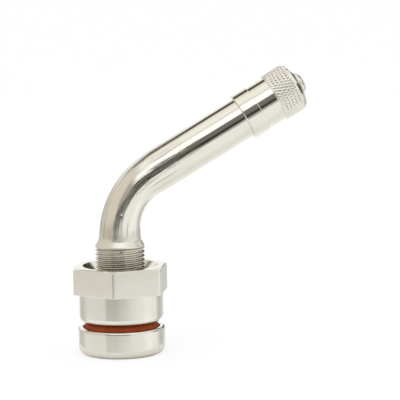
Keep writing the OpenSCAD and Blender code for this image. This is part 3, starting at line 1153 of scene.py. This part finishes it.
@dataclass
class CollarNut:
    """Hexagon nut with a round clamping collar, in one piece."""

    across_flats: float = 17.0
    turn_deg: float = 14.4
    bottom_z: float = 6.4
    hex_z: float = 12.0
    top_z: float = 17.2
    chamfer_r: float = 8.7
    chamfer_deg: float = 22.0
    least_chamfer: Point2 = (0.1, 0.06)
    dish_r: float = 7.3
    collar_r: float = 8.15
    collar_edge_r: float = 1.1
    bore_r: float = 4.8
    sink: float = 0.45
    edge_round: float = 5.0
    least_facing: float = 0.2
    per_face: int = 34

    def spin(self) -> list[float]:
        """Spreads points round the nut, closer together near the corners.

        Returns:
            Their angles.
        """
        angles = []
        for face in range(6):
            for k in range(self.per_face):
                s = 2 * k / self.per_face - 1
                angles.append(radians(self.turn_deg + 60 * face + 30 + 30 * sin(s * pi / 2)))
        return angles

    def hex_reach(self, q: float) -> float:
        """Distance from the axis to the hexagon's wall, its upright edges softly broken.

        Args:
            q: angle round the axis.

        Returns:
            The distance.
        """
        total = 0.0
        for face in range(6):
            facing = cos(q - radians(self.turn_deg + 30 + 60 * face))
            if facing > self.least_facing:
                total += exp(-self.edge_round * (self.across_flats / 2 / facing - self.across_flats / 2))
        return self.across_flats / 2 - log(total) / self.edge_round

    def build(self) -> None:
        """Builds and dresses the nut."""
        slope = tan(radians(self.chamfer_deg))
        columns = []
        angles = self.spin()
        for q in angles:
            reach = self.hex_reach(q)
            edge = min(self.chamfer_r, reach - self.least_chamfer[0])
            meet = min(self.top_z - self.least_chamfer[1], self.top_z - (reach - self.chamfer_r) * slope)
            columns.append(rounded(
                (self.bore_r + self.sink, self.bottom_z, 0.06),
                (self.collar_r, self.bottom_z, self.collar_edge_r), (self.collar_r, self.hex_z, 0.08),
                (reach, self.hex_z, 0.1), (reach, meet, 0.1), (edge, self.top_z, 0.1),
                (self.dish_r, self.top_z, 0.06),
                (self.bore_r, self.top_z - self.dish_r + self.bore_r, 0.06),
                (self.bore_r, self.bottom_z + self.sink, 0.06), closed=True))
        rings = [[(r * cos(q), r * sin(q), z) for q, (r, z) in zip(angles, row)] for row in zip(*columns)]
        shape = Shape()
        shape.wall(rings)
        nut = shape.made("clamp_nut_fine", sharp_deg=50.0)
        finish_piece(nut, Body.NUT, NUT_FINISH.material(), "collar_nut")


@dataclass
class ValveCap:
    """Screw cap: beaded mouth, waist, knurled grip and roof, with the swivel that carries its seal."""

    around: int = 368
    mouth: float = 28.198
    mouth_bevel: float = 0.3
    bead_r: float = 4.7
    bead_end: float = 31.518
    waist_r: float = 4.525
    waist_end: float = 35.318
    grip_r: float = 4.85
    knurl_end: float = 39.43
    grip_edge: Point2 = (0.02, 0.03)
    shoulder_r: float = 4.58
    shoulder_end: float = 39.87
    crown_r: float = 4.2
    crown_end: float = 40.248
    roof_top: float = 40.968
    roof_in: float = 39.908
    roof_flat: float = 0.12
    bore_r: float = 3.9
    stalk_r: float = 1.1
    button_r: float = 2.075
    button_h: float = 1.0
    button_rim: float = 0.08
    button_edge: float = 0.05
    button_steps: int = 24
    washer_top: float = 39.358
    plate_t: float = 0.5
    plate_gap: float = 0.25
    peg_end: float = 38.338
    knurl_start: float = 35.438
    knurl_depth: float = 0.25
    knurl_pitch: float = 1.43
    knurl_fade: float = 0.1
    knurl_rows: int = 36
    swivel_around: int = 96
    run_gap: float = 0.05
    seat_gap: float = 0.02

    def build(self) -> None:
        """Builds and dresses the cap and its swivel."""
        finish = CAP_FINISH.material()
        shell = Shape()
        shell.turned(self.mouth_outline(), ARM_AXIS, self.around)
        shell.take(self.knurl().mesh(finish), ARM_AXIS)
        shell.turned(self.roof_outline(), ARM_AXIS, self.around)
        cap = shell.made("cap_fine", sharp_deg=35.0)
        finish_piece(cap, Body.CAP, finish, "cap_shell")
        swivel = Shape()
        swivel.turned(self.swivel_outline(), ARM_AXIS, self.swivel_around)
        button = swivel.made("cap_button", sharp_deg=45.0)
        finish_piece(button, Body.CAP_SEAL, finish, "cap_swivel")

    def mouth_outline(self) -> list[Point2]:
        """Outline from the roof's underside down the bore and up the outside to the knurl."""
        hole = self.stalk_r + self.run_gap
        return rounded((hole, self.roof_in), (self.bore_r, self.roof_in, 0.1),
                       (self.bore_r, self.mouth + self.mouth_bevel),
                       (self.bore_r + self.mouth_bevel, self.mouth, 0.06), (self.bead_r, self.mouth, 0.14),
                       (self.bead_r, self.bead_end, 0.1), (self.waist_r, self.bead_end, 0.03),
                       (self.waist_r, self.waist_end, 0.06), (self.grip_r, self.waist_end, 0.08),
                       (self.grip_r, self.knurl_start))

    def knurl(self) -> Knurl:
        """Knurled band of the grip."""
        length = self.knurl_end - self.knurl_start
        return Knurl("grip_knurl", self.grip_r, self.knurl_depth, self.knurl_pitch, self.knurl_start, length,
                     self.knurl_fade, self.knurl_fade, self.around, self.knurl_rows)

    def roof_outline(self) -> list[Point2]:
        """Outline from the knurl over the bevel and the sloping roof to the swivel's hole."""
        hole = self.stalk_r + self.run_gap
        return rounded((self.grip_r, self.knurl_end),
                       (self.grip_r - self.grip_edge[0], self.knurl_end + self.grip_edge[1], 0.01),
                       (self.shoulder_r, self.shoulder_end, 0.1), (self.crown_r, self.crown_end, 0.1),
                       (self.button_r + self.roof_flat, self.roof_top, 0.08), (hole, self.roof_top, 0.05),
                       (hole, self.roof_in))

    def swivel_outline(self) -> list[Point2]:
        """Draws the button, its stalk, the plate and the washer's peg.

        Returns:
            The outline from the peg's end to the button's top.
        """
        head, plate = self.roof_top + self.seat_gap, self.washer_top + self.plate_t
        plate_r, cheek = self.bore_r - self.plate_gap, head + self.button_rim
        quarter = [radians(90 * k / self.button_steps) for k in range(self.button_steps + 1)]
        rise = self.button_h - self.button_rim
        dome = [(self.button_r * cos(q), cheek + rise * sin(q)) for q in quarter]
        lower = [(0.0, self.peg_end), (self.stalk_r, self.peg_end), (self.stalk_r, self.washer_top),
                 (plate_r, self.washer_top), (plate_r, plate), (self.stalk_r, plate), (self.stalk_r, head),
                 (self.button_r - self.button_edge, head), (self.button_r, head + self.button_edge)]
        return lower + dome


@dataclass
class ValveCore:
    """Core and seals inside the arm, which keep their solids and get finishes of their own."""

    brass: tuple[str, ...] = ("core_plug", "core_barrel", "core_pin", "core_cup")
    red: tuple[str, ...] = ("core_packing",)
    black: tuple[str, ...] = ("cap_washer", "core_cup_washer")

    def build(self) -> None:
        """Dresses the solids."""
        finishes = {BRASS_FINISH: self.brass, RED_FINISH: self.red, BLACK_FINISH: self.black}
        for finish, names in finishes.items():
            material = finish.material()
            for name in names:
                dress(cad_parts[name], material)
                LOG.info("%s: kept, finished as %s", name, finish.name)


@dataclass
class CoreSpring:
    """Spring under the pin's stop; the real one shortens as the pin is pressed, and this one is built at
    rest.
    """

    turns: int = 7
    flat_turns: float = 0.75
    coil_r: float = 0.945
    wire_r: float = 0.16
    foot: float = 25.418
    top: float = 31.208
    press: float = 1.2
    steps_a_turn: int = 32
    sides: int = 12

    def build(self) -> None:
        """Makes the spring and puts it in place."""
        shape = Shape()
        steps = self.turns * self.steps_a_turn
        coil = [self.ring(self.turns * i / steps, self.wire_r) for i in range(steps + 1)]
        shape.wall([self.ring(0.0, 0.0)] + coil + [self.ring(self.turns, 0.0)])
        spring = shape.made("spring_fine")
        finish_piece(spring, Body.VALVE, STEEL_FINISH.material(), "core_spring")
        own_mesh(spring)

    def ring(self, t: float, r: float) -> list[Point3]:
        """Ring round the wire.

        Args:
            t: turns from the spring's foot.
            r: the ring's radius.

        Returns:
            Its points.
        """
        q = tau * t
        risen = min(max((t - self.flat_turns) / (self.turns - 2 * self.flat_turns), 0.0), 1.0)
        z = self.foot + (self.top - self.foot) * risen
        round_wire = [tau * j / self.sides for j in range(self.sides)]
        reach = [self.coil_r + r * cos(w) for w in round_wire]
        return [ARM_AXIS.point(x * cos(q), x * sin(q), z + r * sin(w))
                for x, w in zip(reach, round_wire)]


# Studio


Span = tuple[float, float, float, float]


@dataclass(frozen=True)
class Panel:
    """Soft-edged panel round the valve that its polished metal mirrors.

    Each range rises between its first two angles and falls between its last two.

    Attributes:
        colour: its brightness.
        aside: range in degrees to the right of straight ahead.
        over: range in degrees from the front horizon up and over the valve.
        up: range in degrees above the horizon.
        along: range in degrees towards the arm's far end from square to the arm.
    """

    colour: Colour
    aside: Span | None = None
    over: Span | None = None
    up: Span | None = None
    along: Span | None = None


@dataclass
class Surround:
    """White surroundings: white to the camera, even for dull surfaces, panelled for mirrored light."""

    even: float = 1.0
    ground: Colour = (1.06, 1.07, 1.07)
    panels: tuple[Panel, ...] = (
        Panel((0.93, 0.94, 0.9), up=(-100, -95, -60, -38)),
        Panel((0.61, 0.58, 0.51), aside=(-154, -138, -52, -44), up=(-12.8, -5.3, 58, 66)),
        Panel((0.58, 0.55, 0.49), aside=(-182, -181, -150, -140), up=(-9, -4, 4, 14)),
        Panel((0.84, 0.8, 0.71), aside=(-150, -138, -52, -44), up=(-6, 4, 58, 66)),
        Panel((0.68, 0.68, 0.68), aside=(-172, -150, -138, -112), up=(-40, -30, 10, 20)),
        Panel((0.66, 0.67, 0.65), aside=(96, 120, 138, 146), up=(-40, -30, 10, 20)),
        Panel((0.7, 0.71, 0.69), aside=(148, 152, 162, 166), up=(-16, -12, 0, 3)),
        Panel((1.18, 1.18, 1.18), aside=(54, 64, 80, 92), up=(-40, -30, -9.5, -7)),
        Panel((0.9, 0.9, 0.87), aside=(6, 30, 84, 100), up=(-10.5, -7.5, 12, 20)),
        Panel((0.6, 0.6, 0.58), aside=(100, 120, 154, 164), up=(-10, -8, 4, 8)),
        Panel((0.34, 0.34, 0.32), aside=(-54, -46, -20, -4), up=(-12, -8, -4, 0)),
        Panel((0.5, 0.5, 0.48), aside=(-12, -6, 10, 58), up=(-10.2, -8, -6, -4)),
        Panel((0.26, 0.26, 0.24), aside=(-54, -44, -10, 26), up=(-12.4, -5.6, 8, 12)),
        Panel((0.2, 0.2, 0.19), aside=(-48, -44, 14, 18), up=(-5, -1, 28, 32)),
        Panel((0.05, 0.05, 0.045), aside=(-9, -6, 14, 18), up=(-1.5, 0.5, 8.5, 11)),
        Panel((0.5, 0.49, 0.45), aside=(-62, -52, 0, 10), up=(8, 16, 58, 66),
              along=(-62, -58, -14, -2)),
        Panel((1.45, 1.47, 1.5), aside=(-50, -42, 30, 36), over=(30, 34, 56, 60),
              up=(20, 25, 89, 91), along=(-14, -2, 89, 91)),
        Panel((0.93, 0.95, 0.97), over=(58, 61, 66, 70), up=(40, 50, 89, 91)),
        Panel((1.14, 1.14, 1.1), over=(66, 72, 98, 102), up=(50, 58, 89, 91)),
        Panel((1.02, 0.99, 0.94), over=(98, 102, 115, 119), up=(50, 58, 89, 91)),
        Panel((0.12, 0.105, 0.085), aside=(-170, -164, -142, -130), over=(115, 120, 135, 149),
              up=(10, 14, 89, 91)),
        Panel((0.1, 0.09, 0.075), aside=(82, 92, 106, 113), up=(1, 6, 26, 32)),
        Panel((0.05, 0.045, 0.035), aside=(124, 129, 137, 142), up=(22, 27, 36, 41)),
        Panel((0.05, 0.045, 0.035), aside=(134, 139, 152, 157), up=(8, 12, 32, 38)),
        Panel((0.05, 0.045, 0.035), aside=(140, 147, 165, 171), up=(2, 6, 15, 20)),
    )

    def build(self) -> None:
        """Builds the world."""
        world = bpy.data.worlds.new("surround")
        bpy.context.scene.world = world
        world.use_nodes = True
        if hasattr(world, "cycles"):
            world.cycles.sampling_method = "NONE"
        t = Tree(world.node_tree)
        x, y, z = t.put("ShaderNodeSeparateXYZ", {0: t.node("ShaderNodeTexCoord").outputs["Generated"]})
        ahead = t.times(y, -1.0)
        lean = radians(ARM_AXIS.lean_deg)
        towards = t.math("ADD", t.times(x, sin(lean)), t.times(z, cos(lean)))
        turned = {"aside": t.math("ARCTAN2", x, ahead), "over": t.math("ARCTAN2", z, ahead),
                  "up": t.math("ARCSINE", z), "along": t.math("ARCSINE", towards)}
        angles = {name: t.times(angle, 180 / pi) for name, angle in turned.items()}
        mirrored: object = self.ground
        for panel in self.panels:
            spans = {name: getattr(panel, name) for name in angles}
            inside = [t.window(angles[name], *span) for name, span in spans.items() if span]
            mirrored = t.blend(t.times(*inside), mirrored, panel.colour)
        rays = t.node("ShaderNodeLightPath").outputs
        colour = t.blend(rays[RayLook.GLOSSY.value], (self.even,) * 3, mirrored)
        colour = t.blend(rays[RayLook.CAMERA.value], colour, (1.0, 1.0, 1.0))
        light = t.put("ShaderNodeBackground", {"Color": colour})[0]
        t.put("ShaderNodeOutputWorld", {"Surface": light})
        LOG.info("surround: %d panels", len(self.panels))


@dataclass
class Studio:
    """Pale floor, soft lamp and camera."""

    contact_r: float = 16.0
    floor_r: float = 3000.0
    floor_z: float = -0.01
    floor_around: int = 96
    floor_colour: tuple[float, ...] = (0.98, 0.98, 0.98, 1.0)
    floor_white: float = 0.8
    lamp_energy: float = 0.5
    lamp_size: float = 0.35
    lamp_at: Point3 = (-0.18, -0.3, 0.5)
    lamp_aim: Point3 = (0.01, 0.0, 0.02)
    camera_distance: float = 400.0
    camera_azimuth: float = -6.8324
    camera_elevation: float = 7.5579
    camera_roll: float = -0.9869
    camera_lens: float = 186.6
    pivot: Point3 = (0.0, 0.0, 25.0)
    aim_right: float = 15.6436
    aim_up: float = 4.4231

    def build(self) -> None:
        """Builds the floor, the lamp and the camera."""
        self.floor()
        self.lamp()
        self.camera()
        bpy.context.scene.view_settings.view_transform = "Standard"

    def floor(self) -> None:
        """Builds the floor: a spot that the base's edge mirrors, and the wide floor round it."""
        made, t = new_material("pale_floor")
        dull = t.put("ShaderNodeBsdfDiffuse", {"Color": self.floor_colour})[0]
        seen = t.node("ShaderNodeLightPath").outputs[RayLook.CAMERA.value]
        mixed = {0: t.times(seen, self.floor_white), 1: dull, 2: t.node("ShaderNodeEmission").outputs[0]}
        t.show("ShaderNodeMixShader", mixed)
        reaches = {"floor_spot": (0.0, self.contact_r), "floor_wide": (self.contact_r, self.floor_r)}
        for name, (inner, outer) in reaches.items():
            shape = Shape()
            shape.turned([(outer, self.floor_z), (inner, self.floor_z)], SHANK_AXIS, self.floor_around)
            part = shape.made(name)
            dress(part, made)
            part.visible_glossy = inner == 0.0

    def lamp(self) -> None:
        """Builds the soft lamp."""
        data = bpy.data.lights.new("soft_lamp", "AREA")
        data.energy = self.lamp_energy
        data.size = self.lamp_size
        lamp = add_object("soft_lamp", data)
        lamp.location = self.lamp_at
        lamp.rotation_euler = (Vector(self.lamp_aim) - lamp.location).to_track_quat("-Z", "Y").to_euler()
        lamp.visible_glossy = False

    def camera(self) -> None:
        """Builds the camera at the photograph's viewing angle."""
        az, el, roll = (radians(a) for a in (self.camera_azimuth, self.camera_elevation, self.camera_roll))
        back = Vector((sin(az) * cos(el), -cos(az) * cos(el), sin(el)))
        right = Vector((cos(az), sin(az), 0.0))
        pivot = Vector(self.pivot)
        target = pivot + right * self.aim_right + back.cross(right) * self.aim_up
        spot = pivot + back * self.camera_distance
        ahead = (target - spot).normalized()
        level = ahead.cross(Vector((0.0, 0.0, 1.0))).normalized()
        up = level.cross(ahead)
        side = level * cos(roll) + up * sin(roll)
        top = up * cos(roll) - level * sin(roll)
        turn = Matrix((side, top, -ahead)).transposed().to_4x4()
        data = bpy.data.cameras.new("camera")
        data.lens = self.camera_lens
        data.sensor_width = 36.0
        data.clip_start = 0.01
        camera = add_object("camera", data)
        camera.matrix_world = Matrix.Translation(spot * MM) @ turn
        bpy.context.scene.camera = camera


def main() -> None:
    """Builds the pieces in order."""
    logging.basicConfig(level=logging.INFO, format="%(message)s")
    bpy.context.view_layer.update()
    ValveStem().build()
    SealRing().build()
    CollarNut().build()
    ValveCap().build()
    ValveCore().build()
    CoreSpring().build()
    Surround().build()
    Studio().build()


if __name__ == "__main__":
    main()
